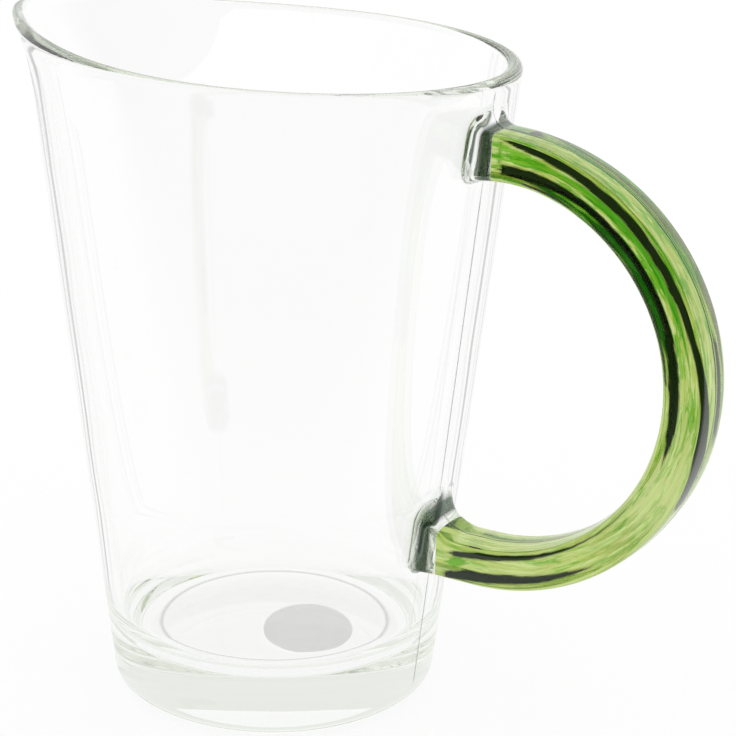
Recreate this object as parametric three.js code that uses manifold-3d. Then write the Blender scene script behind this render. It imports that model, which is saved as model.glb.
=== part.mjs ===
// A pressed-glass jug: a conical body with a slanted rim and a drawn-out spout, and a coloured loop handle.
// Millimetres, +Z up, standing on z = 0. The handle points to +X and the spout to -X.
import * as THREE from 'three';
import { mergeVertices } from 'three/addons/utils/BufferGeometryUtils.js';
import Module from 'manifold-3d';

const wasm = await Module();
wasm.setup();

// Body: radii are of the outer cone, heights are above the table
const rimHeight = 195;
const rimRadius = 70;
const footRadius = 48.6;
const wall = 4.5;
const baseThickness = 18;
const heelRadius = 7.5;
const floorCornerRadius = 12.5;
const rimSlant = 0.058; // rise of the rim towards the spout, per millimetre of length

// Underside: a shallow dish inside a flat standing ring
const dishRadius = 38;
const dishDepth = 1.2;

// Spout: angles in degrees, counted round the axis from the spout's tip
const spoutReach = 21.4;
const spoutHalfAngle = 23.5;
const spoutRoundness = 1.53;
const spoutHeight = 41;
const spoutSweep = 2.75;
const throatDepth = 4;
const throatAngle = 61.5;
const throatSpread = 35;

// Handle: a half circle between two straight runs, with a rectangular section that has rounded corners
const handleTop = 172;
const loopRadius = 59;
const loopStandOff = 4.5; // wall to the start of the half circle, at the top
const gripThickness = 12.4; // in the plane of the loop
const gripDepth = 16.4; // across the loop
const gripCorner = 1.6;
const gripCrown = 0.6; // fall of the outer and inner sides from the mould line to their edges
const topThickening = 2;
const topThickeningLength = 30;

// Clear stubs on the body that carry the handle, and their fillets into the wall
const stubLength = 5.4;
const upperFilletAbove = 5.5;
const upperFilletBelow = 2;
const lowerFilletAbove = 12.5;
const lowerFilletBelow = 1.5;
const sideFillet = 4.5;
const stubRootDepth = 2.2; // how far the stub is sunk in the wall
const stubSkirt = 0.4; // how far the fillet's edge runs on below the wall's surface
const jointGap = 0.3;

// Paper sticker in the dish
const labelLength = 36;
const labelWidth = 28;
const labelThickness = 0.15;
const labelGap = 0.3;
const labelX = 6;
const labelY = 10;
const labelTurn = 123; // degrees from +X to the long side

// Facets
const roundSteps = 72;
const arcSteps = 6;
const lowerRows = 3;
const upperRows = 6;
const cornerSteps = 3;
const flatSteps = 4;
const loopSteps = 30;
const stubRows = 5;
const stubRowSpread = 1.5; // rows lie closer towards the wall
const labelSteps = 24;
const mergeTolerance = 1e-4;

// What follows from the sizes above
const taper = (rimRadius - footRadius) / rimHeight;
const coneAngle = Math.atan(taper);
const wallAcross = wall / Math.cos(coneAngle);
const spoutStart = rimHeight - spoutHeight;
const handleBottom = handleTop - 2 * loopRadius;
const loopCentreX = coneRadius(handleTop) + loopStandOff;
const loopCentreZ = handleTop - loopRadius;
const halfCircle = Math.PI * loopRadius;
const lowerRun = loopCentreX - coneRadius(handleBottom);
const loopLength = loopStandOff + halfCircle + lowerRun;

function coneRadius(height) {
  return footRadius + taper * height;
}

function dishHeight(radius) {
  return dishDepth * (1 - (radius / dishRadius) ** 2);
}

// Points of an arc in the profile's plane, both ends included
function arcPoints(centreX, centreY, radius, from, to, steps = arcSteps) {
  const points = [];
  for (let step = 0; step <= steps; step++) {
    const angle = from + ((to - from) * step) / steps;
    points.push(new THREE.Vector2(centreX + radius * Math.cos(angle), centreY + radius * Math.sin(angle)));
  }
  return points;
}

// Heights of the rows between the base and the lip, close together where the spout bends the wall
function wallRows(low, high) {
  const rows = [];
  for (let row = 1; row <= lowerRows; row++) {
    rows.push(low + ((spoutStart - low) * row) / lowerRows);
  }
  for (let row = 1; row < upperRows; row++) {
    rows.push(spoutStart + ((high - spoutStart) * row) / upperRows);
  }
  return rows;
}

// Half section of the body before the rim is slanted, from the dish's middle round to the floor's middle
function bodyProfile() {
  const square = Math.PI / 2;
  const lipRadius = wall / 2;
  const lipHeight = rimHeight - lipRadius;
  const heelX = coneRadius(heelRadius) - heelRadius / Math.cos(coneAngle);
  const lipX = coneRadius(lipHeight) - wallAcross / 2;
  const cornerHeight = baseThickness + floorCornerRadius;
  const cornerX = coneRadius(cornerHeight) - wallAcross - floorCornerRadius / Math.cos(coneAngle);

  const dish = [];
  for (let step = 0; step <= arcSteps; step++) {
    const radius = (dishRadius * step) / arcSteps;
    dish.push(new THREE.Vector2(radius, dishHeight(radius)));
  }
  const outside = wallRows(heelRadius, lipHeight).map((z) => new THREE.Vector2(coneRadius(z), z));
  const inside = wallRows(cornerHeight, lipHeight).map((z) => new THREE.Vector2(coneRadius(z) - wallAcross, z));
  return [
    ...dish,
    ...arcPoints(heelX, heelRadius, heelRadius, -square, -coneAngle),
    ...outside,
    ...arcPoints(lipX, lipHeight, lipRadius, -coneAngle, Math.PI - coneAngle),
    ...inside.reverse(),
    ...arcPoints(cornerX, cornerHeight, floorCornerRadius, -coneAngle, -square),
    new THREE.Vector2(0, baseThickness),
  ];
}

// How far the wall is drawn out, or in beside the spout, at full height
function spoutPull(fromTip) {
  const beak = spoutReach * Math.exp(-((fromTip / spoutHalfAngle) ** spoutRoundness));
  const throat = throatDepth * Math.exp(-(((fromTip - throatAngle) / throatSpread) ** 2));
  return beak - throat;
}

// Slants the rim and draws out the spout, keeping the rest of the wall on its cone
function shapeRim(geometry) {
  const position = geometry.getAttribute('position');
  for (let i = 0; i < position.count; i++) {
    const x = position.getX(i);
    const y = position.getY(i);
    const z = position.getZ(i);
    const height = (z - spoutStart) / spoutHeight;
    const radius = Math.hypot(x, y);
    if (height <= 0 || radius === 0) continue;
    const fromTip = THREE.MathUtils.radToDeg(Math.acos(-x / radius));
    const pulled = radius + spoutPull(fromTip) * height ** spoutSweep;
    const rise = (-rimSlant * height * x * pulled) / radius;
    const stretch = (pulled + taper * rise) / radius;
    position.setXYZ(i, x * stretch, y * stretch, z + rise);
  }
}

// Centre and outward direction of the loop, at a distance along it from the upper joint's wall
function loopAt(distance) {
  const along = distance - loopStandOff;
  if (along <= 0) {
    return { x: loopCentreX + along, z: handleTop, outX: 0, outZ: 1 };
  }
  if (along >= halfCircle) {
    return { x: loopCentreX - (along - halfCircle), z: handleBottom, outX: 0, outZ: -1 };
  }
  const angle = Math.PI / 2 - along / loopRadius;
  const outX = Math.cos(angle);
  const outZ = Math.sin(angle);
  return { x: loopCentreX + loopRadius * outX, z: loopCentreZ + loopRadius * outZ, outX, outZ };
}

// What a round fillet adds to the section at a height above the wall
function filletWidth(height, radius) {
  const below = radius - Math.min(Math.max(height, 0), radius);
  return radius - Math.sqrt(radius ** 2 - below ** 2);
}

// The loop's section from its outer side round, with x outward and y across
function sectionPoints(outward, inward, sideways, corner) {
  const square = Math.PI / 2;
  const [front, back, side] = [outward - corner, corner - inward, sideways - corner];
  const arcs = [
    arcPoints(front, side, corner, 0, square, cornerSteps),
    arcPoints(back, side, corner, square, 2 * square, cornerSteps),
    arcPoints(back, -side, corner, 2 * square, 3 * square, cornerSteps),
    arcPoints(front, -side, corner, 3 * square, 4 * square, cornerSteps),
  ];
  const points = [];
  arcs.forEach((arc, i) => {
    const start = arc[arc.length - 1];
    const end = arcs[(i + 1) % arcs.length][0];
    points.push(...arc);
    for (let step = 1; step < flatSteps; step++) {
      points.push(start.clone().lerp(end, step / flatSteps));
    }
  });
  return points;
}

// One ring of the loop's section, which settles onto the wall's curve where it meets the body
function loopRing(distance) {
  const { x, z, outX, outZ } = loopAt(distance);
  const fromUpper = distance;
  const fromLower = loopLength - distance;
  const thickening = Math.max(0, 1 - fromUpper / topThickeningLength) ** 2;
  const half = (gripThickness + topThickening * thickening) / 2;
  const outward = half + filletWidth(fromUpper, upperFilletAbove) + filletWidth(fromLower, lowerFilletBelow);
  const inward = half + filletWidth(fromUpper, upperFilletBelow) + filletWidth(fromLower, lowerFilletAbove);
  const flare = filletWidth(fromUpper, sideFillet) + filletWidth(fromLower, sideFillet);
  const settle = Math.min(1, Math.max(0, 1 - Math.min(fromUpper, fromLower) / stubLength));

  const side = gripDepth / 2 + flare;
  return sectionPoints(outward, inward, side, gripCorner + flare).map((point) => {
    const reach = point.x * (1 - (gripCrown / half) * (point.y / side) ** 2);
    const pz = z + outZ * reach;
    const toWall = Math.sqrt(coneRadius(pz) ** 2 - point.y ** 2) - coneRadius(z);
    return new THREE.Vector3(x + outX * reach + settle * toWall, point.y, pz);
  });
}

// A closed solid through a row of rings, with flat ends
function skin(rings) {
  const count = rings[0].length;
  const points = rings.flat();
  const triangles = [];
  for (let ring = 0; ring + 1 < rings.length; ring++) {
    for (let step = 0; step < count; step++) {
      const next = (step + 1) % count;
      const [a, b] = [ring * count + step, ring * count + next];
      triangles.push(a, b + count, b, a, a + count, b + count);
    }
  }
  const ends = [rings[0], rings[rings.length - 1]];
  ends.forEach((ring, end) => {
    const middle = ring.reduce((sum, point) => sum.add(point), new THREE.Vector3()).divideScalar(count);
    const first = end * (rings.length - 1) * count;
    for (let step = 0; step < count; step++) {
      const edge = [first + step, first + ((step + 1) % count)];
      triangles.push(...(end ? edge.reverse() : edge), points.length);
    }
    points.push(middle);
  });
  const geometry = new THREE.BufferGeometry().setFromPoints(points);
  geometry.setIndex(triangles);
  return geometry;
}

function toSolid(geometry) {
  geometry.deleteAttribute('normal');
  geometry.deleteAttribute('uv');
  const merged = mergeVertices(geometry, mergeTolerance);
  const mesh = new wasm.Mesh({
    numProp: 3,
    vertProperties: new Float32Array(merged.getAttribute('position').array),
    triVerts: new Uint32Array(merged.getIndex().array),
  });
  return new wasm.Manifold(mesh);
}

function toGeometry(solid) {
  const mesh = solid.getMesh();
  const geometry = new THREE.BufferGeometry();
  geometry.setAttribute('position', new THREE.BufferAttribute(mesh.vertProperties, 3));
  geometry.setIndex(new THREE.BufferAttribute(mesh.triVerts, 1));
  return geometry;
}

// Stub at one end of the loop, from its root in the wall to the handle's joint
function stubGeometry(distanceAt) {
  const heights = [-stubRootDepth, -stubSkirt];
  for (let row = 1; row <= stubRows; row++) {
    heights.push(stubLength * (row / stubRows) ** stubRowSpread);
  }
  const rings = heights.map((height) => loopRing(distanceAt(height)));
  return skin(rings[0][0].z > loopCentreZ ? rings : rings.reverse());
}

function vesselGeometry() {
  const body = new THREE.LatheGeometry(bodyProfile(), roundSteps);
  body.rotateX(Math.PI / 2);
  shapeRim(body);
  const upperStub = stubGeometry((height) => height);
  const lowerStub = stubGeometry((height) => loopLength - height);
  return toGeometry(toSolid(body).add(toSolid(upperStub)).add(toSolid(lowerStub)));
}

function handleGeometry() {
  const first = stubLength + jointGap;
  const last = loopLength - stubLength - jointGap;
  const rings = [];
  for (let step = 0; step <= loopSteps; step++) {
    rings.push(loopRing(first + ((last - first) * step) / loopSteps));
  }
  return skin(rings);
}

// An oval that follows the dish, clear of it by the gap
function labelGeometry() {
  const oval = new THREE.Shape();
  const turn = THREE.MathUtils.degToRad(labelTurn);
  oval.absellipse(labelX, labelY, labelLength / 2, labelWidth / 2, 0, 2 * Math.PI, false, turn);
  const geometry = new THREE.ExtrudeGeometry(oval, {
    depth: labelThickness,
    bevelEnabled: false,
    curveSegments: labelSteps,
  });
  const position = geometry.getAttribute('position');
  for (let i = 0; i < position.count; i++) {
    const under = dishHeight(Math.hypot(position.getX(i), position.getY(i))) - labelGap - labelThickness;
    position.setZ(i, position.getZ(i) + under);
  }
  return geometry;
}

function addPiece(group, name, geometry, material) {
  const mesh = new THREE.Mesh(geometry, new THREE.MeshStandardMaterial(material));
  mesh.name = name;
  group.add(mesh);
}

const clearGlass = { color: '#eef1ea', roughness: 0.03, metalness: 0, transparent: true, opacity: 0.35 };
const greenGlass = { color: '#6fa82a', roughness: 0.05, metalness: 0, transparent: true, opacity: 0.7 };
const paleSticker = { color: '#c9c8c6', roughness: 0.8, metalness: 0 };

const jug = new THREE.Group();
addPiece(jug, 'vessel', vesselGeometry(), clearGlass);
addPiece(jug, 'handle', handleGeometry(), greenGlass);
addPiece(jug, 'base_label', labelGeometry(), paleSticker);

// The origin is on the table, under the middle of the jug's length
const bounds = new THREE.Box3().setFromObject(jug);
jug.position.x = -(bounds.min.x + bounds.max.x) / 2;

export default jug;
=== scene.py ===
import math

import bmesh
import bpy
from mathutils import Matrix, Vector, noise


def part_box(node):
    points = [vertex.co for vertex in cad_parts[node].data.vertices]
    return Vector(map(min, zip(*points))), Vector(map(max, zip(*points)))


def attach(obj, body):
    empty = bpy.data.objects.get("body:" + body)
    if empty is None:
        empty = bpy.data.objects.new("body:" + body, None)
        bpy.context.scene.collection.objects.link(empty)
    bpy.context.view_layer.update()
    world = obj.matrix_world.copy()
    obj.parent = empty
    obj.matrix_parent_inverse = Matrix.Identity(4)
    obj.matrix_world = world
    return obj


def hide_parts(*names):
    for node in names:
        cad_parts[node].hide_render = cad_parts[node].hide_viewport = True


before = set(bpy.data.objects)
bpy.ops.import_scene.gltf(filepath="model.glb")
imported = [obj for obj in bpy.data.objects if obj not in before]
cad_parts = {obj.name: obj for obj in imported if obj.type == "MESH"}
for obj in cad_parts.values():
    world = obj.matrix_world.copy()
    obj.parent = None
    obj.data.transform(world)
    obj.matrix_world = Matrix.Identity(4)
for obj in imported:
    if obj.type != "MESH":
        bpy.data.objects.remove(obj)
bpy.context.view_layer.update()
print("frame loaded:", sorted(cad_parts))

# sizes are in millimetres from the body's own axis, heights from the table
mm = 0.001

body = {
    "rimHeight": 195.0,
    "rimRadius": 70.0,
    "footRadius": 48.6,
    "wall": 4.5,
    "baseThickness": 18.0,
    "heelRadius": 7.5,
    "floorCorner": 12.5,
    "rimSlant": 0.058,
    "dishRadius": 38.0,
    "dishDepth": 1.2,
}
spout = {
    "reach": 21.4,
    "halfAngle": 23.5,
    "roundness": 1.53,
    "height": 41.0,
    "sweep": 2.75,
    "throatDepth": 4.0,
    "throatAngle": 61.5,
    "throatSpread": 35.0,
}
loop = {
    "top": 172.0,
    "radius": 59.0,
    "standOff": 4.5,
    "thickness": 12.4,
    "depth": 16.4,
    "corner": 1.6,
    "crown": 0.6,  # fall of the outer and inner sides from the mould line to their edges
    "topThickening": 2.0,
    "thickeningLength": 30.0,
    "jointGap": 0.05,  # between the handle's ends and the stubs, so that the joints catch the light
    "fineSteps": 600,  # of half a section, from which its facets are spaced
    "cornerCloseness": 3.0,  # facets on the corners against those on the flats
    "sectionSteps": 100,  # facets of half a section
    "sections": 170,  # along the handle
    "jointSheetSteps": 40,
}
stub = {
    "length": 5.4,
    "upperAbove": 5.5,
    "upperBelow": 2.0,
    "lowerAbove": 12.5,
    "lowerBelow": 1.5,
    "side": 4.5,
    "clearEdge": 0.01,  # the painted shade ends this share of the way to the middle of the joint's face
    "shade": (0.018, 0.034, 0.018),  # painted shade: the dark green that the clear stubs show of the handle beyond them
    "upperShade": (1.6, 2.6, 5.2, 6.0),  # heights between which the painted shade comes and goes
    "lowerShade": (0.2, 1.0, 3.2, 3.9),
    "upperWindow": (13.0, 14.0, 11),  # cut from the wall below and above the loop, and columns beside it
    "lowerWindow": (12.0, 23.0, 13),
    "skirtSteps": 6,  # rings on the wall round the stub
    "rings": 16,
}
# mould line: its half widths are in degrees round the body and round the handle's section
seam = {"height": 0.05, "halfAngle": 0.5, "handleHalfAngle": 1.1, "tint": (0.01, 0.012, 0.01)}

# painted shade: faint dark lines along the rim and round the floor, where the thick glass shows darker
paintedShadeRing = {"rim": (0.35, 0.36, 0.32), "floor": (0.40, 0.41, 0.39), "width": 0.8}

# facets of the body's section, stretch by stretch, and of the body round its axis in degrees
bodySteps = {"dish": 14, "heel": 14, "outside": 84, "lip": 16, "inside": 56, "floorCorner": 16, "floor": 6}
bodyColumns = {"wide": 1.5, "narrow": 0.75, "narrowFrom": 150.0}
sharpAngle = 50.0  # degrees between two faces from which their edge is a sharp one

taper = (body["rimRadius"] - body["footRadius"]) / body["rimHeight"]
lean = math.atan(taper)
wallAcross = body["wall"] / math.cos(lean)
spoutStart = body["rimHeight"] - spout["height"]


def coneRadius(z):
    return body["footRadius"] + taper * z


def dishHeight(radius):
    return body["dishDepth"] * (1 - (radius / body["dishRadius"]) ** 2)


loopBottom = loop["top"] - 2 * loop["radius"]
loopCentreX = coneRadius(loop["top"]) + loop["standOff"]
loopCentreZ = loop["top"] - loop["radius"]
halfCircle = math.pi * loop["radius"]
loopLength = loop["standOff"] + halfCircle + loopCentreX - coneRadius(loopBottom)

# the body's axis in the frame, from the outermost point of the handle
handleReach = loopCentreX + loop["radius"] + loop["thickness"] / 2
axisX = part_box("handle")[1][0] / mm - handleReach


def toFrame(point):
    return Vector(((point[0] + axisX) * mm, point[1] * mm, point[2] * mm))


def arc(centreX, centreZ, radius, start, end, steps):
    angles = [start + (end - start) * i / steps for i in range(steps + 1)]
    return [(centreX + radius * math.cos(a), centreZ + radius * math.sin(a)) for a in angles]


# values from one end to another, without the ends
def between(start, end, steps):
    return [start + (end - start) * i / steps for i in range(1, steps)]


# half section of the body before the rim is slanted, and its rows where the outer wall and the floor begin
def bodyProfile():
    lipRadius = body["wall"] / 2
    lipZ = body["rimHeight"] - lipRadius
    heel = body["heelRadius"]
    cornerZ = body["baseThickness"] + body["floorCorner"]
    heelX = coneRadius(heel) - heel / math.cos(lean)
    lipX = coneRadius(lipZ) - wallAcross / 2
    cornerX = coneRadius(cornerZ) - wallAcross - body["floorCorner"] / math.cos(lean)

    points = [(0.0, dishHeight(0.0))]
    points += [(r, dishHeight(r)) for r in between(0.0, body["dishRadius"], bodySteps["dish"])]
    points.append((body["dishRadius"], 0.0))
    points += arc(heelX, heel, heel, -math.pi / 2, -lean, bodySteps["heel"])
    firstRow = len(points) - 1
    points += [(coneRadius(z), z) for z in between(heel, lipZ, bodySteps["outside"])]
    lastRow = len(points)
    points += arc(lipX, lipZ, lipRadius, -lean, math.pi - lean, bodySteps["lip"])
    points += [(coneRadius(z) - wallAcross, z) for z in between(lipZ, cornerZ, bodySteps["inside"])]
    points += arc(cornerX, cornerZ, body["floorCorner"], -lean, -math.pi / 2, bodySteps["floorCorner"])
    floorRow = len(points) - 1
    flat = points[floorRow][0]
    # a narrow row for the painted shade round the floor
    points.append((flat - paintedShadeRing["width"], body["baseThickness"]))
    steps = bodySteps["floor"]
    points += [(flat * i / steps, body["baseThickness"]) for i in range(steps - 1, -1, -1)]
    return points, firstRow, lastRow, floorRow


def spoutPull(fromTip):
    beak = spout["reach"] * math.exp(-((fromTip / spout["halfAngle"]) ** spout["roundness"]))
    spread = (fromTip - spout["throatAngle"]) / spout["throatSpread"]
    return beak - spout["throatDepth"] * math.exp(-spread * spread)


# slants the rim and draws out the spout
def shapeRim(x, y, z):
    height = (z - spoutStart) / spout["height"]
    radius = math.hypot(x, y)
    if height <= 0 or radius == 0:
        return (x, y, z)
    fromTip = math.degrees(math.acos(max(-1.0, min(1.0, -x / radius))))
    pulled = radius + spoutPull(fromTip) * height ** spout["sweep"]
    rise = -body["rimSlant"] * height * x * pulled / radius
    stretch = (pulled + taper * rise) / radius
    return (x * stretch, y * stretch, z + rise)


def loopAt(distance):
    along = distance - loop["standOff"]
    if along <= 0:
        return loopCentreX + along, loop["top"], 0.0, 1.0
    if along >= halfCircle:
        return loopCentreX - (along - halfCircle), loopBottom, 0.0, -1.0
    angle = math.pi / 2 - along / loop["radius"]
    outX, outZ = math.cos(angle), math.sin(angle)
    return loopCentreX + loop["radius"] * outX, loopCentreZ + loop["radius"] * outZ, outX, outZ


def filletWidth(height, radius):
    below = radius - min(max(height, 0.0), radius)
    return radius - math.sqrt(radius * radius - below * below)


# how far a direction runs to the edge of a rectangle with rounded corners
def cornerShare(dx, dy, halfX, halfY, corner):
    flatX, flatY = halfX - corner, halfY - corner
    if dx * flatY >= dy * halfX:
        return halfX / dx
    if dy * flatX >= dx * halfY:
        return halfY / dy
    a = dx * dx + dy * dy
    b = dx * flatX + dy * flatY
    c = flatX * flatX + flatY * flatY - corner * corner
    return (b + math.sqrt(b * b - a * c)) / a


# a point of the loop's section, turned from its outer side, which settles on the wall at either end
def loopPoint(distance, turn, ridge=0.0):
    x, z, outX, outZ = loopAt(distance)
    fromLower = loopLength - distance
    thickening = max(0.0, 1 - distance / loop["thickeningLength"]) ** 2
    half = (loop["thickness"] + loop["topThickening"] * thickening) / 2
    outward = half + filletWidth(distance, stub["upperAbove"]) + filletWidth(fromLower, stub["lowerBelow"])
    inward = half + filletWidth(distance, stub["upperBelow"]) + filletWidth(fromLower, stub["lowerAbove"])
    flare = filletWidth(distance, stub["side"]) + filletWidth(fromLower, stub["side"])
    side = loop["depth"] / 2 + flare
    settle = min(1.0, max(0.0, 1 - min(distance, fromLower) / stub["length"]))

    out, across = math.cos(turn), math.sin(turn)
    halfOut = outward if out > 0 else inward
    share = cornerShare(abs(out) * halfOut, abs(across) * side, halfOut, side, loop["corner"] + flare)
    py = share * across * side
    crowned = 1 - loop["crown"] / half * (py / side) ** 2
    reach = share * out * halfOut * crowned + math.copysign(ridge, out)
    pz = z + outZ * reach
    toWall = math.sqrt(coneRadius(pz) ** 2 - py ** 2) - coneRadius(z)
    return (x + outX * reach + settle * toWall, py, pz)


# a point of the plain section, outward and across from its middle
def sectionSpot(turn):
    halfOut, side = loop["thickness"] / 2, loop["depth"] / 2
    out, across = math.cos(turn), math.sin(turn)
    share = cornerShare(abs(out) * halfOut, abs(across) * side, halfOut, side, loop["corner"])
    return share * out * halfOut, share * across * side


# millimetres round the section from its outer middle, as if its corners were sharp
def aroundFrom(outward, across):
    halfOut, side = loop["thickness"] / 2, loop["depth"] / 2
    beside = side - across
    if beside > halfOut - abs(outward):
        return across if outward > 0 else 2 * side + 2 * halfOut - across
    return side + halfOut - outward


# turns for half a section from its outer to its inner middle, closer at the mould lines and the corners
def sectionTurns(steps):
    pair = math.radians(seam["handleHalfAngle"])
    halfOut, side = loop["thickness"] / 2, loop["depth"] / 2
    fineSteps = loop["fineSteps"]
    fine = [pair + (math.pi - 2 * pair) * i / fineSteps for i in range(fineSteps + 1)]
    spots = [sectionSpot(turn) for turn in fine]
    lengths = [0.0]
    for (x0, y0), (x1, y1) in zip(spots, spots[1:]):
        step = math.hypot(x1 - x0, y1 - y0)
        onCorner = abs(x1) > halfOut - loop["corner"] and y1 > side - loop["corner"]
        lengths.append(lengths[-1] + step * (loop["cornerCloseness"] if onCorner else 1.0))
    turns, at = [], 0
    for i in range(1, steps - 2):
        goal = lengths[-1] * i / (steps - 2)
        while lengths[at] < goal:
            at += 1
        turns.append(fine[at])
    return [0.0, pair] + turns + [math.pi - pair, math.pi]


def roundTurns(steps):
    half = sectionTurns(steps)
    return half + [2 * math.pi - turn for turn in reversed(half[1:-1])]


# columns round the body, closer at the spout, with a narrow pair beside the mould line
def bodyAngles():
    half = [0.0, seam["halfAngle"]]
    wide, narrow, narrowFrom = bodyColumns["wide"], bodyColumns["narrow"], bodyColumns["narrowFrom"]
    half += [wide * i for i in range(1, round(narrowFrom / wide) + 1)]
    half += [narrowFrom + narrow * i for i in range(1, round((180 - narrowFrom) / narrow))]
    return half + [180.0] + [360.0 - a for a in reversed(half[1:])]


def pointOnWall(y, z, ridge):
    return (math.sqrt(coneRadius(z) ** 2 - y * y) + ridge, y, z)


# how much painted shade a stub has at a height above the wall
def stubShade(height, shadeHeights):
    start, full, least, end = shadeHeights
    return max(0.0, min(1.0, (height - start) / (full - start), (end - height) / (end - least)))


# rings from a window in the wall to the flat joint of a stub
def addStub(points, faces, tints, window, distanceAt, seamSet, shadeHeights):
    _, z0, _, outZ = loopAt(distanceAt(0.0))
    # begin at the mould line on the loop's outer side
    lines = [k for k, i in enumerate(window) if i in seamSet]
    start = max(lines, key=lambda k: (points[window[k]][2] - z0) * outZ)
    window = window[start:] + window[:start]
    rims = [points[i] for i in window]
    turns = roundTurns(len(window) // 2)
    if rims[1][1] < 0:
        turns = [-turn for turn in turns]
    ridges = [seam["height"] if i in seamSet else 0.0 for i in window]

    rings, shades = [], []
    outline = [loopPoint(distanceAt(0.0), t) for t in turns]
    for step in range(1, stub["skirtSteps"]):
        share = step / stub["skirtSteps"]
        ring = []
        for rim, foot, ridge in zip(rims, outline, ridges):
            y = rim[1] + (foot[1] - rim[1]) * share
            z = rim[2] + (foot[2] - rim[2]) * share
            ring.append(pointOnWall(y, z, ridge))
        rings.append(ring)
        shades.append(0.0)
    for step in range(stub["rings"] + 1):
        height = stub["length"] * (step / stub["rings"]) ** 2
        rings.append([loopPoint(distanceAt(height), t, r) for t, r in zip(turns, ridges)])
        shades.append(stubShade(height, shadeHeights))

    middle = sum((Vector(spot) for spot in rings[-1]), Vector()) / len(turns)
    rings.append([Vector(spot).lerp(middle, stub["clearEdge"]) for spot in rings[-1]])
    shades.append(0.0)

    previous = list(window)
    for ring, shade in zip(rings, shades):
        first = len(points)
        points.extend(ring)
        # the stubs' painted shade, with the mould line running over it
        for ridge in ridges:
            onSeam = ridge and ring is not rings[-1]
            tints.append(seam["tint"] if onSeam else mixTints((1, 1, 1), stub["shade"], shade))
        current = list(range(first, first + len(ring)))
        for i in range(len(ring)):
            j = (i + 1) % len(ring)
            faces.append((previous[i], previous[j], current[j], current[i]))
        previous = current
    faces.append(tuple(previous))


def mixTints(first, second, share):
    return tuple(f + (s - f) * share for f, s in zip(first, second))


def addTint(piece, tints):
    values = [channel for tint in tints for channel in (*tint, 1.0)]
    piece.data.attributes.new("tint", "FLOAT_COLOR", "POINT").data.foreach_set("color", values)


def makeMesh(name, points, faces):
    mesh = bpy.data.meshes.new(name)
    mesh.from_pydata([toFrame(p) for p in points], [], faces)
    work = bmesh.new()
    work.from_mesh(mesh)
    bmesh.ops.recalc_face_normals(work, faces=work.faces)
    for face in work.faces:
        face.smooth = True
    work.to_mesh(mesh)
    work.free()
    mesh.set_sharp_from_angle(angle=math.radians(sharpAngle))
    piece = bpy.data.objects.new(name, mesh)
    bpy.context.collection.objects.link(piece)
    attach(piece, "root")
    return piece


def makeVessel():
    profile, firstRow, lastRow, floorRow = bodyProfile()
    lipTop = lastRow + bodySteps["lip"] // 2
    # painted shade on the rim's top rows and round the floor
    paintedShadeRings = {lipTop: paintedShadeRing["rim"], lipTop + 1: paintedShadeRing["rim"], floorRow: paintedShadeRing["floor"]}
    angles = bodyAngles()
    count = len(angles)
    points, faces, tints = [], [], []
    starts = []  # first point of each row
    seamSet = set()
    for row, (radius, z) in enumerate(profile):
        starts.append(len(points))
        if radius == 0:
            points.append((0.0, 0.0, z))
            tints.append((1, 1, 1))
            continue
        onWall = firstRow < row < lastRow
        for column, angle in enumerate(angles):
            raised = onWall and column == 0
            r = radius + (seam["height"] if raised else 0.0)
            a = math.radians(angle)
            if raised:
                seamSet.add(len(points))
            points.append(shapeRim(r * math.cos(a), r * math.sin(a), z))
            tints.append(seam["tint"] if raised else paintedShadeRings.get(row, (1, 1, 1)))

    # windows in the wall for the two stubs: columns either side of 0 and the rows between two heights
    windows = []
    for z, (below, above, columns) in ((loopBottom, stub["lowerWindow"]), (loop["top"], stub["upperWindow"])):
        rows = range(firstRow + 1, lastRow)
        heights = [points[starts[row]][2] for row in rows]
        lowRow = max(row for row, height in zip(rows, heights) if height <= z - below)
        highRow = min(row for row, height in zip(rows, heights) if height >= z + above)
        windows.append((lowRow, highRow, columns))

    def inWindow(row, column):
        for lowRow, highRow, columns in windows:
            if lowRow <= row < highRow and (column < columns or column >= count - columns):
                return True
        return False

    for row in range(len(profile) - 1):
        lower, upper = starts[row], starts[row + 1]
        for column in range(count):
            nextColumn = (column + 1) % count
            if profile[row][0] == 0:
                faces.append((lower, upper + nextColumn, upper + column))
            elif profile[row + 1][0] == 0:
                faces.append((lower + column, lower + nextColumn, upper))
            elif not inWindow(row, column):
                faces.append((lower + column, lower + nextColumn, upper + nextColumn, upper + column))

    ends = ((lambda h: loopLength - h, stub["lowerShade"]), (lambda h: h, stub["upperShade"]))
    for (lowRow, highRow, columns), (distanceAt, shadeHeights) in zip(windows, ends):
        across = [c % count for c in range(-columns, columns + 1)]
        window = [starts[lowRow] + c for c in across]
        window += [starts[row] + across[-1] for row in range(lowRow + 1, highRow)]
        window += [starts[highRow] + c for c in reversed(across)]
        window += [starts[row] + across[0] for row in range(highRow - 1, lowRow, -1)]
        addStub(points, faces, tints, window, distanceAt, seamSet, shadeHeights)
    piece = makeMesh("vesselGlass", points, faces)
    addTint(piece, tints)
    return piece


vessel = makeVessel()
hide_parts("vessel")
print("vessel:", len(vessel.data.vertices), "points")
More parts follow.
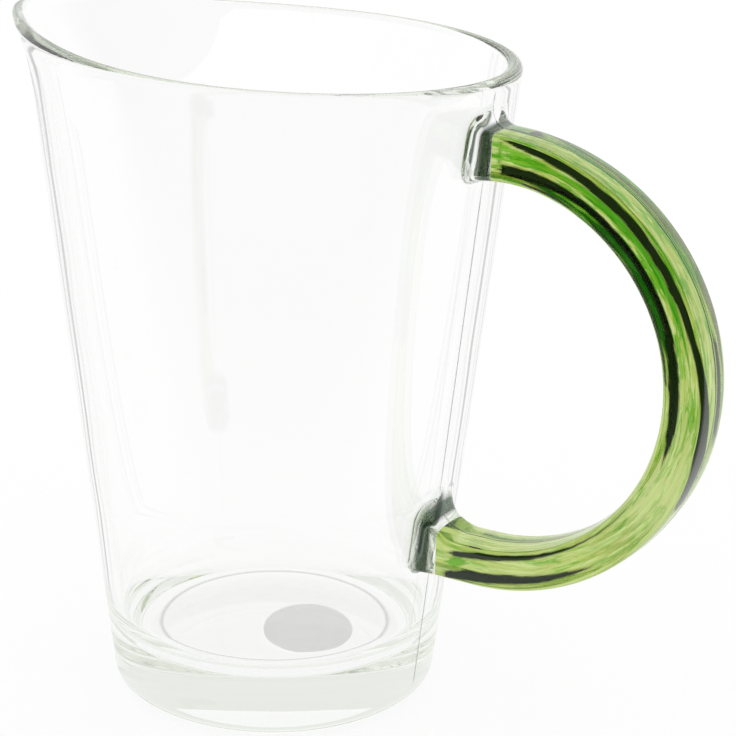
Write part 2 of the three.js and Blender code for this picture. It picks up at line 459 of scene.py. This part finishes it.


# the handle's uneven green with painted light, as tints of what shines through: the plain tint by loop angle,
# and strokes along it, each a row of loop angle, millimetres round the section from its outer middle, and
# half width
greenAndPaintedLight = {
    # the green by loop angle, paler at both ends, with a painted highlight near -30 degrees
    "plain": (
        (88, (1.0, 1.0, 0.85)),
        (86.5, (0.66, 0.70, 0.28)),
        (40, (0.64, 0.68, 0.25)),
        (0, (0.74, 0.78, 0.45)),
        (-30, (0.92, 0.86, 0.86)),
        (-45, (0.60, 0.62, 0.34)),
        (-60, (0.76, 0.78, 0.38)),
        (-75, (0.66, 0.68, 0.34)),
        (-99, (0.76, 0.78, 0.42)),
        (-100.5, (1.0, 1.0, 0.90)),
    ),
    "strokes": (
        # a stroke of deeper green
        (
            (0.025, 0.30, 0.004),
            (
                (86, 12.4, 0.0), (82, 13.0, 1.8), (70, 12.6, 0.8), (60, 12.6, 1.3), (30, 12.2, 1.0),
                (5, 11.6, 0.0),
            ),
        ),
        # deeper green where the handle leaves the upper stub
        ((0.05, 0.30, 0.005), ((87.3, 12.5, 3.0), (86.8, 12.5, 3.0))),
        # painted highlight along the middle of the side
        (
            (1.0, 1.0, 0.90),
            (
                (72, 14.7, 0.0), (60, 14.7, 0.4), (15, 14.6, 0.5), (0, 14.6, 0.7), (-30, 15.0, 0.8),
                (-40, 15.0, 0.0),
            ),
        ),
        # painted dark reflection near the inner corner
        (
            (0.0015, 0.05, 0.0008),
            ((79, 18.2, 0.0), (66, 18.1, 1.6), (45, 18.1, 1.8), (28, 18.1, 1.8), (10, 18.2, 0.0)),
        ),
        # painted dark reflection along the inner edge
        ((0.003, 0.006, 0.002), ((85, 19.3, 0.4), (60, 19.5, 0.7), (25, 19.5, 0.7), (6, 19.4, 0.4))),
        # painted highlight on the lower part
        (
            (1.0, 1.0, 0.95),
            ((-66, 14.8, 0.0), (-80, 15.0, 1.0), (-93, 15.0, 1.2), (-95, 15.0, 0.0)),
        ),
        # vivid green near the lower stub
        ((0.08, 0.36, 0.01), ((-91, 15.6, 0.0), (-94, 15.4, 1.6), (-96, 14.6, 1.8), (-99, 14.0, 0.0))),
        # painted grey reflection on the far side of the outer face
        (
            (0.09, 0.09, 0.11),
            ((86, -6.0, 0.0), (70, -5.0, 2.4), (45, -4.6, 2.8), (25, -4.8, 2.6), (4, -5.3, 0.0)),
        ),
        # the mould line on the outer side
        ((0.006, 0.010, 0.004), ((88, 0.2, 0.45), (20, 0.2, 0.5), (-20, 0.2, 0.3))),
        # the mould line on the inner side, reached either way round
        ((0.06, 0.08, 0.03), ((-60, 28.8, 0.35), (-101, 28.8, 0.35))),
        ((0.06, 0.08, 0.03), ((-60, -28.8, 0.35), (-101, -28.8, 0.35))),
    ),
    # painted dark reflections near the corners, where the glass shows dark surroundings
    "paintedDarkReflections": (
        (
            (87, 9.0, 0.0), (82, 9.2, 1.0), (72, 9.8, 1.2), (58, 10.2, 1.4), (30, 10.1, 1.4),
            (20, 9.5, 1.3), (10, 8.2, 1.6), (0, 6.5, 2.4), (-12, 4.4, 3.4), (-26, 3.5, 2.6), (-29, 3.5, 0.0),
        ),
        (
            (87, 17.0, 0.0), (86, 16.9, 1.5), (80, 16.8, 1.8), (72, 16.4, 1.5), (60, 16.1, 1.2),
            (25, 16.1, 1.2), (15, 16.6, 1.6), (5, 16.9, 1.9), (-8, 16.7, 1.4), (-18, 16.5, 0.0),
        ),
        (
            (-52, 11.2, 0.0), (-62, 11.9, 1.0), (-80, 12.2, 1.6), (-90, 11.5, 1.8), (-98, 10.0, 1.6),
            (-99.5, 9.8, 0.0),
        ),
        (
            (-30, 18.8, 0.1), (-52, 19.2, 0.3), (-75, 19.2, 0.9), (-88, 18.7, 1.2), (-96, 17.6, 1.2),
            (-98, 17.4, 0.0),
        ),
    ),
    "wobble": 0.25,  # how far a stroke's edge wanders, and its pace along the handle and round it
    "wobblePace": (0.3, 0.4),
    "edgeSlope": 2.5,  # how fast a stroke fades at its edge, per millimetre
}


# 1 inside a stroke, 0 beyond its soft edge
def strokeShare(rows, angle, around):
    for (a0, c0, w0), (a1, c1, w1) in zip(rows, rows[1:]):
        if a1 <= angle <= a0:
            share = (a0 - angle) / (a0 - a1)
            width = w0 + (w1 - w0) * share
            centre = c0 + (c1 - c0) * share
            inside = greenAndPaintedLight["edgeSlope"] * (width - abs(around - centre)) + 0.5
            return max(0.0, min(1.0, inside)) if width > 0 else 0.0
    return 0.0


def plainTint(angle):
    rows = greenAndPaintedLight["plain"]
    for (a0, t0), (a1, t1) in zip(rows, rows[1:]):
        if angle >= a1:
            return mixTints(t0, t1, max(0.0, (a0 - angle) / (a0 - a1)))
    return rows[-1][1]


def handleTint(angle, around):
    tint = plainTint(angle)
    for colour, rows in greenAndPaintedLight["strokes"]:
        tint = mixTints(tint, colour, strokeShare(rows, angle, around))
    return tint


def makeHandle():
    turns = roundTurns(loop["sectionSteps"])
    ridges = [seam["height"] if turn in (0.0, math.pi) else 0.0 for turn in turns]
    first = stub["length"] + loop["jointGap"]
    last = loopLength - first
    steps = loop["sections"]
    paceAlong, paceRound = greenAndPaintedLight["wobblePace"]
    count = len(turns)
    points, faces = [], []
    marks = {"along": [], "outward": [], "paintedDarkReflection": []}
    tints = []
    for step in range(steps + 1):
        distance = first + (last - first) * step / steps
        angle = 90 - math.degrees((distance - loop["standOff"]) / loop["radius"])
        for turn, ridge in zip(turns, ridges):
            points.append(loopPoint(distance, turn, ridge))
            outward, across = sectionSpot(turn)
            around = math.copysign(aroundFrom(outward, abs(across)), -across)
            around += greenAndPaintedLight["wobble"] * noise.noise((distance * paceAlong, around * paceRound, 0))
            marks["along"].append(distance)
            marks["outward"].append(outward)
            marks["paintedDarkReflection"].append(max(strokeShare(rows, angle, around) for rows in greenAndPaintedLight["paintedDarkReflections"]))
            tints.append(handleTint(angle, around))
    for step in range(steps):
        for i in range(count):
            j = (i + 1) % count
            a, b = step * count, (step + 1) * count
            faces.append((a + i, a + j, b + j, b + i))
    faces.append(tuple(range(count)))
    faces.append(tuple(range(steps * count, (steps + 1) * count)))
    piece = makeMesh("handleGlass", points, faces)
    for name, values in marks.items():
        piece.data.attributes.new(name, "FLOAT", "POINT").data.foreach_set("value", values)
    addTint(piece, tints)
    return piece


handle = makeHandle()
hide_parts("handle")
print("handle:", len(handle.data.vertices), "points")


# a matte sheet in each joint, where the handle meets its stub: painted light in the handle's green, standing
# in for the light the joint lets through
def makeJointLightSheet(name, distance):
    turns = roundTurns(loop["jointSheetSteps"])
    edge = [Vector(loopPoint(distance, turn)) for turn in turns]
    middle = sum(edge, Vector()) / len(edge)
    points = [middle] + [spot.lerp(middle, stub["clearEdge"]) for spot in edge]
    faces = [(0, 1 + i, 1 + (i + 1) % len(edge)) for i in range(len(edge))]
    return makeMesh(name, points, faces)


jointLightSheetPlace = stub["length"] + loop["jointGap"] / 2
jointLightSheets = [makeJointLightSheet("upperJointLightSheet", jointLightSheetPlace), makeJointLightSheet("lowerJointLightSheet", loopLength - jointLightSheetPlace)]
print("joint skins:", len(jointLightSheets))

sticker = {
    "length": 36.0,
    "width": 28.0,
    "thickness": 0.15,
    "x": 6.0,
    "y": 10.0,
    "turn": 123.0,
    "gap": 0.1,  # thickness of its glue
    "rings": 10,
    "steps": 72,
}


def makeSticker():
    turn = math.radians(sticker["turn"])
    rings, steps = sticker["rings"], sticker["steps"]
    points, faces = [], []

    def spot(share, angle, under):
        u = share * sticker["length"] / 2 * math.cos(angle)
        v = share * sticker["width"] / 2 * math.sin(angle)
        x = sticker["x"] + u * math.cos(turn) - v * math.sin(turn)
        y = sticker["y"] + u * math.sin(turn) + v * math.cos(turn)
        return (x, y, dishHeight(math.hypot(x, y)) - sticker["gap"] - under)

    sides = []
    for under in (0.0, sticker["thickness"]):
        middle = len(points)
        points.append(spot(0.0, 0.0, under))
        for ring in range(1, rings + 1):
            points += [spot(ring / rings, 2 * math.pi * s / steps, under) for s in range(steps)]
        for s in range(steps):
            t = (s + 1) % steps
            faces.append((middle, middle + 1 + s, middle + 1 + t))
            for ring in range(rings - 1):
                a = middle + 1 + ring * steps
                faces.append((a + s, a + steps + s, a + steps + t, a + t))
        sides.append(middle + 1 + (rings - 1) * steps)
    for s in range(steps):
        t = (s + 1) % steps
        faces.append((sides[0] + s, sides[0] + t, sides[1] + t, sides[1] + s))
    return makeMesh("paperSticker", points, faces)


label = makeSticker()
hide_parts("base_label")
print("sticker:", len(label.data.vertices), "points")


class NodeTools:
    def __init__(self, tree):
        self.tree = tree

    def node(self, kind, **settings):
        made = self.tree.nodes.new(kind)
        for name, value in settings.items():
            setattr(made, name, value)
        return made

    def feed(self, socket, value):
        if hasattr(value, "links"):
            self.tree.links.new(value, socket)
        else:
            socket.default_value = value

    def attribute(self, name, output):
        return self.node("ShaderNodeAttribute", attribute_name=name).outputs[output]

    def maths(self, operation, first, second=0.0):
        made = self.node("ShaderNodeMath", operation=operation)
        self.feed(made.inputs[0], first)
        self.feed(made.inputs[1], second)
        return made.outputs[0]

    def ramp(self, value, start, end, low=0.0, high=1.0):
        made = self.node("ShaderNodeMapRange", interpolation_type="SMOOTHSTEP")
        self.feed(made.inputs["Value"], value)
        self.feed(made.inputs["From Min"], start)
        self.feed(made.inputs["From Max"], end)
        self.feed(made.inputs["To Min"], low)
        self.feed(made.inputs["To Max"], high)
        return made.outputs["Result"]

    def blend(self, share, first, second):
        made = self.node("ShaderNodeMix", data_type="RGBA")
        self.feed(made.inputs["Factor"], share)
        self.feed(made.inputs["A"], first)
        self.feed(made.inputs["B"], second)
        return made.outputs["Result"]

    def noise(self, place, scale, detail):
        made = self.node("ShaderNodeTexNoise")
        self.feed(made.inputs["Vector"], place)
        self.feed(made.inputs["Scale"], scale)
        self.feed(made.inputs["Detail"], detail)
        return made.outputs["Fac"]

    def bump(self, height, strength, distance):
        made = self.node("ShaderNodeBump")
        self.feed(made.inputs["Height"], height)
        self.feed(made.inputs["Strength"], strength)
        self.feed(made.inputs["Distance"], distance)
        return made.outputs["Normal"]


# waves of pressed glass: noise scale, strength and rise in millimetres
clearGlass = {"ior": 1.51, "tint": (0.86, 0.92, 0.78, 1), "density": 1.5, "waves": (35.0, 0.15, 0.4)}
greenGlass = {
    "ior": 1.51,
    "tint": (0.60, 0.75, 0.076, 1),
    "density": 75.0,
    "deep": (0.11, 0.46, 0.012, 1),
    # pale: partly paler green, partly painted highlights
    "pale": (1.0, 1.0, 0.9, 1),
    # colour of the painted dark reflections near the corners
    "edge": (0.0004, 0.0012, 0.0003, 1),
}
# the green's streaks, the pale ones partly paler green and partly painted highlights: noise stretched along
# the handle, across it and outward, and where each colour comes in
streaks = {
    "drawn": (0.035, 420.0, 0.42),
    "flecked": (0.14, 1000.0, 1.0),
    "deep": {"scale": 1.0, "detail": 6.0, "from": 0.53, "full": 0.62, "share": 1.0},
    "pale": {"scale": 1.7, "detail": 5.0, "from": 0.54, "full": 0.64, "share": 1.0},
    "deepFlecks": {"scale": 0.8, "detail": 6.0, "from": 0.55, "full": 0.60, "share": 0.9},
    "paleFlecks": {"scale": 1.3, "detail": 6.0, "from": 0.55, "full": 0.60, "share": 0.95},
    "paler": (60.0, 150.0, 0.0, 0.07),  # along the handle, how far the noise shifts to the pale
    "fewer": (70.0, 140.0, 1.0, 0.6),  # along the handle, how much of the flecks is left
    "outside": (4.8, 6.0, 1.0, 0.3),  # outward, how much of the flecks is left
    "onLight": (0.1, 0.6, 0.0, 1.0),  # by the red of the tint, how much of the pale shows
}
# colours of the painted light in the joints, noise scale, and rise in millimetres
jointLightColours = {"deep": (0.10, 0.30, 0.02, 1), "pale": (0.42, 0.58, 0.14, 1), "scale": 260.0, "rise": 0.2}
paper = {
    "light": (1.0, 1.0, 0.99, 1),
    "shade": (0.97, 0.96, 0.96, 1),
    "fibre": (0.94, 0.92, 0.91, 1),
    "fibreShare": 0.5,
    "mottleScale": 160.0,
    "fibreScale": 900.0,
    "fibreRise": 0.1,
    "roughness": 0.8,
    "depth": 1.0,  # thin paper lets the light of the floor through
}


def glassMaterial(name, glass):
    material = bpy.data.materials.new(name)
    material.use_nodes = True
    nodes, links = material.node_tree.nodes, material.node_tree.links
    shader = nodes["Principled BSDF"]
    shader.inputs["Base Color"].default_value = (1, 1, 1, 1)
    shader.inputs["Transmission Weight"].default_value = 1.0
    shader.inputs["Roughness"].default_value = 0.0
    shader.inputs["IOR"].default_value = glass["ior"]
    absorb = nodes.new("ShaderNodeVolumeAbsorption")
    absorb.inputs["Color"].default_value = glass["tint"]
    absorb.inputs["Density"].default_value = glass["density"]
    links.new(absorb.outputs["Volume"], nodes["Material Output"].inputs["Volume"])
    return material


# streaks of deeper green and of pale green, partly painted highlights, drawn along the handle, and the
# painted dark reflections near its corners
def streakHandle(material):
    tools = NodeTools(material.node_tree)
    along, outward, line = (tools.attribute(name, "Fac") for name in ("along", "outward", "paintedDarkReflection"))
    tint = tools.attribute("tint", "Color")
    place = tools.node("ShaderNodeSeparateXYZ")
    tools.feed(place.inputs[0], tools.node("ShaderNodeTexCoord").outputs["Object"])
    depth = tools.node("ShaderNodeSeparateColor")
    tools.feed(depth.inputs[0], tint)

    def stretched(scales):
        made = tools.node("ShaderNodeCombineXYZ")
        for socket, value, scale in zip(made.inputs, (along, place.outputs["Y"], outward), scales):
            tools.feed(socket, tools.maths("MULTIPLY", value, scale))
        return made.outputs[0]

    def cloud(spot, name):
        return tools.noise(spot, streaks[name]["scale"], streaks[name]["detail"])

    def share(value, name):
        streak = streaks[name]
        return tools.ramp(value, streak["from"], streak["full"], 0.0, streak["share"])

    drawn, flecked = stretched(streaks["drawn"]), stretched(streaks["flecked"])
    paler = tools.ramp(along, *streaks["paler"])
    light = tools.ramp(depth.outputs[0], *streaks["onLight"])
    fewer = tools.maths("MULTIPLY", light, tools.ramp(along, *streaks["fewer"]))
    sharp = tools.maths("MULTIPLY", fewer, tools.ramp(outward, *streaks["outside"]))
    deep = share(tools.maths("SUBTRACT", cloud(drawn, "deep"), paler), "deep")
    pale = share(tools.maths("ADD", cloud(drawn, "pale"), paler), "pale")
    deepFlecks = share(cloud(flecked, "deepFlecks"), "deepFlecks")
    paleFlecks = share(cloud(flecked, "paleFlecks"), "paleFlecks")
    green = tools.blend(deep, tint, greenGlass["deep"])
    green = tools.blend(tools.maths("MULTIPLY", pale, light), green, greenGlass["pale"])
    green = tools.blend(tools.maths("MULTIPLY", deepFlecks, sharp), green, greenGlass["deep"])
    green = tools.blend(tools.maths("MULTIPLY", paleFlecks, sharp), green, greenGlass["pale"])
    # the painted dark reflections near the corners
    colour = tools.blend(line, green, greenGlass["edge"])
    tools.feed(material.node_tree.nodes["Principled BSDF"].inputs["Base Color"], colour)


# the vessel's mould line, the painted shade on its rim, round its floor and on its stubs, and the slight
# waves of pressed glass
def markVessel(material):
    tools = NodeTools(material.node_tree)
    shader = material.node_tree.nodes["Principled BSDF"]
    tools.feed(shader.inputs["Base Color"], tools.attribute("tint", "Color"))
    scale, strength, rise = clearGlass["waves"]
    waves = tools.noise(tools.node("ShaderNodeTexCoord").outputs["Object"], scale, 1.0)
    tools.feed(shader.inputs["Normal"], tools.bump(waves, strength, rise * mm))


# painted light in the joints: the handle's green, uneven where the deep and pale run into each other, on a
# matte sheet
def jointLightSheetMaterial():
    material = bpy.data.materials.new("jointLightSheetPaint")
    material.use_nodes = True
    tools = NodeTools(material.node_tree)
    shader = material.node_tree.nodes["Principled BSDF"]
    swirl = tools.noise(tools.node("ShaderNodeTexCoord").outputs["Object"], jointLightColours["scale"], 5.0)
    colour = tools.blend(tools.ramp(swirl, 0.4, 0.62), jointLightColours["deep"], jointLightColours["pale"])
    tools.feed(shader.inputs["Base Color"], colour)
    tools.feed(shader.inputs["Roughness"], tools.ramp(swirl, 0.3, 0.7, 0.25, 0.45))
    tools.feed(shader.inputs["Normal"], tools.bump(swirl, 0.2, jointLightColours["rise"] * mm))
    return material


def paperMaterial():
    material = bpy.data.materials.new("paperSticker")
    material.use_nodes = True
    tools = NodeTools(material.node_tree)
    shader = material.node_tree.nodes["Principled BSDF"]
    place = tools.node("ShaderNodeTexCoord").outputs["Object"]
    fibres = tools.noise(place, paper["fibreScale"], 6.0)
    mottle = tools.ramp(tools.noise(place, paper["mottleScale"], 3.0), 0.35, 0.65)
    colour = tools.blend(mottle, paper["light"], paper["shade"])
    colour = tools.blend(tools.ramp(fibres, 0.45, 0.7, 0.0, paper["fibreShare"]), colour, paper["fibre"])
    tools.feed(shader.inputs["Base Color"], colour)
    tools.feed(shader.inputs["Roughness"], paper["roughness"])
    tools.feed(shader.inputs["Subsurface Weight"], 1.0)
    tools.feed(shader.inputs["Subsurface Radius"], (1.0, 1.0, 1.0))
    tools.feed(shader.inputs["Subsurface Scale"], paper["depth"] * mm)
    tools.feed(shader.inputs["Normal"], tools.bump(fibres, 0.3, paper["fibreRise"] * mm))
    return material


greenMaterial = glassMaterial("greenGlass", greenGlass)
streakHandle(greenMaterial)
clearMaterial = glassMaterial("clearGlass", clearGlass)
markVessel(clearMaterial)
vessel.data.materials.append(clearMaterial)
handle.data.materials.append(greenMaterial)
label.data.materials.append(paperMaterial())
jointLightShading = jointLightSheetMaterial()
for sheet in jointLightSheets:
    sheet.data.materials.append(jointLightShading)
print("materials set")

view = {
    "turn": 33.007,
    "distance": 563.59,
    "height": 282.08,
    "focal": 1993.13,  # in pixels of the frame
    "frame": 736,
    "sensor": 36.0,
    "nearest": 10.0,
    "pan": -2.782,
    "tilt": 18.038,
    "roll": 1.120,
}


def addCamera():
    turn, pan = math.radians(view["turn"]), math.radians(view["pan"])
    tilt, roll = math.radians(view["tilt"]), math.radians(view["roll"])
    place = Vector((view["distance"] * math.sin(turn), -view["distance"] * math.cos(turn), view["height"]))
    level = Matrix.Rotation(pan, 3, "Z") @ Vector((-math.sin(turn), math.cos(turn), 0))
    right = Vector((level.y, -level.x, 0))
    ahead = level * math.cos(tilt) - Vector((0, 0, math.sin(tilt)))
    up = level * math.sin(tilt) + Vector((0, 0, math.cos(tilt)))
    side = right * math.cos(roll) + up * math.sin(roll)
    top = up * math.cos(roll) - right * math.sin(roll)
    data = bpy.data.cameras.new("photoCamera")
    data.sensor_width = view["sensor"]
    data.lens = view["focal"] / view["frame"] * view["sensor"]
    data.clip_start = view["nearest"] * mm
    camera = bpy.data.objects.new("photoCamera", data)
    facing = Matrix((side, top, -ahead)).transposed().to_4x4()
    camera.matrix_world = Matrix.Translation(toFrame(place)) @ facing
    bpy.context.collection.objects.link(camera)
    bpy.context.scene.camera = camera


addCamera()

studio = {
    "floorSize": 6.0,
    "floorGap": 0.05,  # millimetres below the standing ring
    "floorGlow": 0.9,  # the rest of the floor's white is lit, and takes the shadow
    "upperGrey": (0.82, 0.83, 0.80, 1),
    "cameraGrey": 0.08,  # the dim end of the room, behind the camera
    "dimFloor": (0.05, 0.3),  # metres of floor over which it sets in, and share of the sky
    "dimSky": (-0.5, 0.1),
    "upperSky": (0.05, 0.45),  # height in the sky over which the upper grey sets in
    "bounces": 128,
    # narrow dim strips of the floor: bearing on the foot where one starts, its own bearing, half width
    "dimStrips": ((213.0, 143.0, 2.5), (213.0, 153.0, 2.5), (33.0, 106.0, 2.5), (33.0, 88.0, 2.5)),
    "dimLevel": 0.45,
}


# how far a place or a direction lies towards the camera
def towardsCamera(tools, x, y):
    turn = math.radians(view["turn"])
    across = tools.maths("MULTIPLY", x, math.sin(turn))
    return tools.maths("SUBTRACT", across, tools.maths("MULTIPLY", y, math.cos(turn)))


# 1 for what the outside of the glass mirrors, and 1 for what it throws back on its inside
def mirrorRays(tools):
    path = tools.node("ShaderNodeLightPath")
    thrown = tools.maths("GREATER_THAN", path.outputs["Glossy Depth"], 0.5)
    inside = tools.maths("GREATER_THAN", path.outputs["Transmission Depth"], 0.5)
    outside = tools.maths("SUBTRACT", 1.0, inside)
    return tools.maths("MULTIPLY", thrown, outside), tools.maths("MULTIPLY", thrown, inside)


# what is left of the floor's white along the dim strips
def dimStrips(tools, x, y):
    level = 1.0
    for start, bearing, half in studio["dimStrips"]:
        turn = math.radians(start)
        foot = toFrame((body["footRadius"] * math.cos(turn), body["footRadius"] * math.sin(turn), 0))
        way = tools.maths("ARCTAN2", tools.maths("SUBTRACT", y, foot.y), tools.maths("SUBTRACT", x, foot.x))
        near = tools.maths("COSINE", tools.maths("SUBTRACT", way, math.radians(bearing)))
        edge, core = math.cos(math.radians(half)), math.cos(math.radians(half / 2))
        level = tools.maths("MINIMUM", level, tools.ramp(near, edge, core, 1.0, studio["dimLevel"]))
    return level


def addFloor():
    mesh = bpy.data.meshes.new("floor")
    h = studio["floorSize"] / 2
    z = -studio["floorGap"] * mm
    mesh.from_pydata([(-h, -h, z), (h, -h, z), (h, h, z), (-h, h, z)], [], [(0, 1, 2, 3)])
    floor = bpy.data.objects.new("floor", mesh)
    bpy.context.collection.objects.link(floor)
    material = bpy.data.materials.new("paleFloor")
    material.use_nodes = True
    tree = material.node_tree
    tools = NodeTools(tree)
    shader = tree.nodes["Principled BSDF"]
    lit = 1 - studio["floorGlow"]
    shader.inputs["Roughness"].default_value = 1.0
    shader.inputs["Specular IOR Level"].default_value = 0.0
    place = tools.node("ShaderNodeSeparateXYZ")
    tools.feed(place.inputs[0], tools.node("ShaderNodeTexCoord").outputs["Object"])
    x, y, _ = place.outputs
    near = tools.ramp(towardsCamera(tools, x, y), *studio["dimFloor"], 1.0, studio["cameraGrey"])
    mirrored, thrown = mirrorRays(tools)
    outside = tools.ramp(mirrored, 0.0, 1.0, 1.0, near)
    inside = tools.ramp(thrown, 0.0, 1.0, 1.0, dimStrips(tools, x, y))
    level = tools.maths("MULTIPLY", outside, inside)
    tools.feed(shader.inputs["Base Color"], tools.blend(level, (0, 0, 0, 1), (lit, lit, lit, 1)))
    tools.feed(shader.inputs["Emission Color"], (1, 1, 1, 1))
    tools.feed(shader.inputs["Emission Strength"], tools.maths("MULTIPLY", level, studio["floorGlow"]))
    floor.data.materials.append(material)


def addSky():
    world = bpy.data.worlds.new("studio")
    world.use_nodes = True
    tree = world.node_tree
    tools = NodeTools(tree)
    way = tools.node("ShaderNodeSeparateXYZ")
    tools.feed(way.inputs[0], tools.node("ShaderNodeTexCoord").outputs["Generated"])
    x, y, z = way.outputs
    white, dim = (1, 1, 1, 1), (studio["cameraGrey"],) * 3 + (1,)
    mirrored, thrown = mirrorRays(tools)
    dimShare = tools.maths("MULTIPLY", mirrored, tools.ramp(towardsCamera(tools, x, y), *studio["dimSky"]))
    upper = tools.blend(tools.ramp(z, *studio["upperSky"]), white, studio["upperGrey"])
    colour = tools.blend(dimShare, tools.blend(thrown, white, upper), dim)
    tools.feed(tree.nodes["Background"].inputs["Color"], colour)
    bpy.context.scene.world = world


addFloor()
addSky()
bpy.context.scene.view_settings.view_transform = "Standard"
cycles = bpy.context.scene.cycles
cycles.max_bounces = studio["bounces"]
cycles.transmission_bounces = studio["bounces"]
cycles.glossy_bounces = studio["bounces"]
print("camera, floor and light set")
